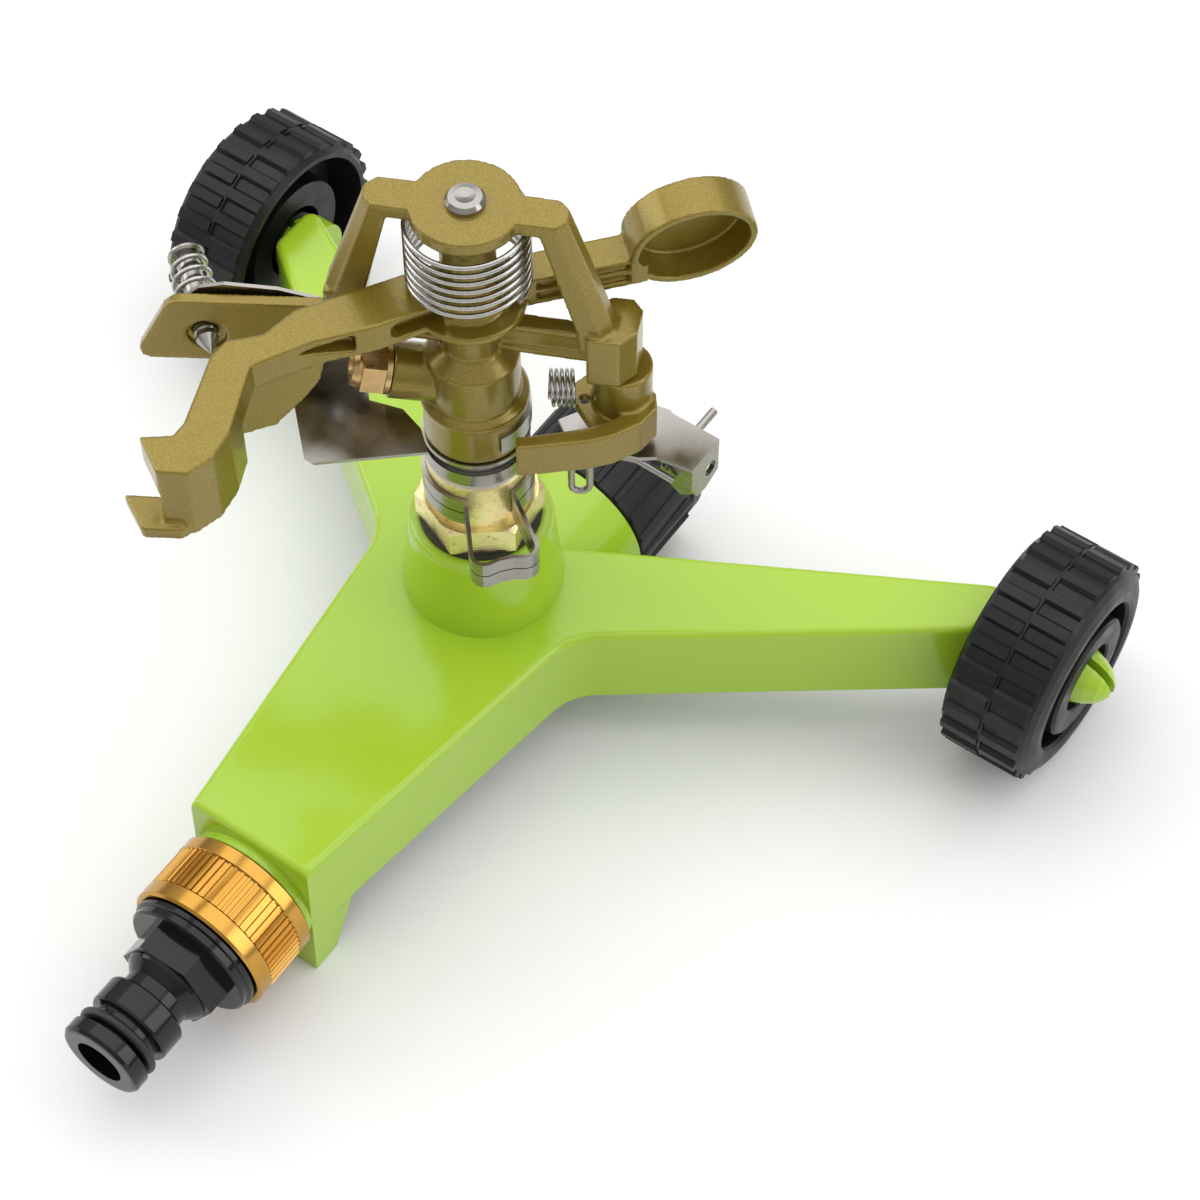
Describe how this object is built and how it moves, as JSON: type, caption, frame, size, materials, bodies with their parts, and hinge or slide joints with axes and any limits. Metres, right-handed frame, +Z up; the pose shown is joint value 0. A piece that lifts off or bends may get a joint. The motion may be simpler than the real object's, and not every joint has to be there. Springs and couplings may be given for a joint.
{
  "type": "impulse lawn sprinkler",
  "caption": "Garden impulse sprinkler on a three-legged wheeled base, with a swinging hammer arm, adjustable stop collars, jet-breaker screw and spray flap.",
  "frame": {"origin": "centre of the footprint at ground level: midway between the wheels, and midway between the hose nose tip and the rear of the wheels", "axes": "+Z is up along the sprinkler head axis direction, -Y is the hose inlet side, +X runs along the wheel axles to the right seen from the inlet"},
  "size_m": [0.2356, 0.2062, 0.1513],
  "materials": {
    "shell_green": "smooth glossy moulded plastic",
    "wheel_black": "fine-textured moulded plastic",
    "cap_black": "moulded plastic",
    "pipe_grey": "moulded plastic",
    "nipple_black": "smooth glossy moulded plastic",
    "nut_gold": "knurled, gold anodised",
    "seal_black": "smooth rubber",
    "brass_worn": "machined brass with worn dark specks",
    "washer_pale": "smooth plastic",
    "washer_navy": "smooth plastic",
    "stainless": "rolled stainless sheet and wire",
    "spring_steel": "drawn wire",
    "bronze_paint": "metallic bronze-gold paint over die-cast zinc"
  },
  "bodies": {
    "base": {"base_body": "shell_green", "water_manifold": "pipe_grey", "base_gasket": "seal_black", "bearing_nipple": "brass_worn", "hose_nipple": "nipple_black", "nipple_o_ring": "seal_black", "inlet_washer": "seal_black", "end_cap_washer": "seal_black", "lower_washer": "washer_pale", "thrust_cup": "stainless"},
    "right_wheel": {"wheel_right": "wheel_black"},
    "left_wheel": {"wheel_left": "wheel_black"},
    "swivel_nut": {"inlet_nut": "nut_gold"},
    "rear_cap": {"end_cap": "cap_black"},
    "lower_stop": {"trip_collar_lower": "stainless"},
    "upper_stop": {"trip_collar_upper": "stainless"},
    "head": {"head_casting": "bronze_paint", "head_clip": "stainless", "nozzle": "brass_worn", "pivot_pin": "stainless", "pivot_tube": "brass_worn", "hub_washer": "washer_navy", "arm_spring": "spring_steel", "seal_ring": "washer_pale", "dust_cup": "stainless", "diffuser_spring": "spring_steel", "trip_axle": "stainless", "trip_spring": "spring_steel", "trip_bush": "stainless"},
    "hammer": {"hammer_arm": "bronze_paint"},
    "lever": {"trip_lever": "bronze_paint"},
    "bracket": {"trip_shifter": "stainless", "trip_wire": "stainless", "trip_pin": "stainless"},
    "spray_flap": {"deflector_flap": "stainless"},
    "jet_screw": {"diffuser_screw": "stainless"}
  },
  "joints": [
    {"name": "right_wheel_spin", "type": "hinge", "parent": "base", "child": "right_wheel", "pos_m": [0.101, 0.0781, 0.025], "axis": [1, 0, 0], "continuous": true},
    {"name": "left_wheel_spin", "type": "hinge", "parent": "base", "child": "left_wheel", "pos_m": [-0.101, 0.0781, 0.025], "axis": [1, 0, 0], "continuous": true},
    {"name": "swivel_nut_turn", "type": "hinge", "parent": "base", "child": "swivel_nut", "pos_m": [0, -0.0652, 0.0189], "axis": [0, -1, 0], "continuous": true},
    {"name": "rear_cap_turn", "type": "hinge", "parent": "base", "child": "rear_cap", "pos_m": [0, 0.0656, 0.0189], "axis": [0, 1, 0], "continuous": true},
    {"name": "lower_stop_turn", "type": "hinge", "parent": "base", "child": "lower_stop", "pos_m": [0, 0.0226, 0.0691], "axis": [0, 0, 1], "continuous": true},
    {"name": "upper_stop_turn", "type": "hinge", "parent": "base", "child": "upper_stop", "pos_m": [0, 0.0226, 0.0728], "axis": [0, 0, 1], "range_deg": [-274, 27]},
    {"name": "head_turn", "type": "hinge", "parent": "base", "child": "head", "pos_m": [0, 0.0226, 0.09], "axis": [0, 0, 1], "range_deg": [-27, 274]},
    {"name": "hammer_swing", "type": "hinge", "parent": "head", "child": "hammer", "pos_m": [0, 0.0226, 0.125], "axis": [0, 0, 1], "range_deg": [0, 110], "stiffness_Nm_per_rad": 0.01, "springref_deg": -17.19},
    {"name": "bracket_turn", "type": "hinge", "parent": "head", "child": "bracket", "pos_m": [0.0248, 0.0362, 0.088], "axis": [0, 0, 1], "range_deg": [-12, 12]},
    {"name": "lever_turn", "type": "hinge", "parent": "head", "child": "lever", "pos_m": [0.0248, 0.0362, 0.1], "axis": [0, 0, 1], "range_deg": [-9, 9]},
    {"name": "spray_flap_tilt", "type": "hinge", "parent": "head", "child": "spray_flap", "pos_m": [-0.04498, -0.00154, 0.1093], "axis": [-0.5388, 0.8425, 0], "range_deg": [-3, 10]},
    {"name": "jet_screw_turn", "type": "hinge", "parent": "head", "child": "jet_screw", "pos_m": [-0.04988, 0.00243, 0.1093], "axis": [0.766, -0.6428, 0], "continuous": true}
  ],
  "couplings": [
    {"joint": "lever_turn", "follows": "bracket_turn", "ratio": 0.75}
  ]
}
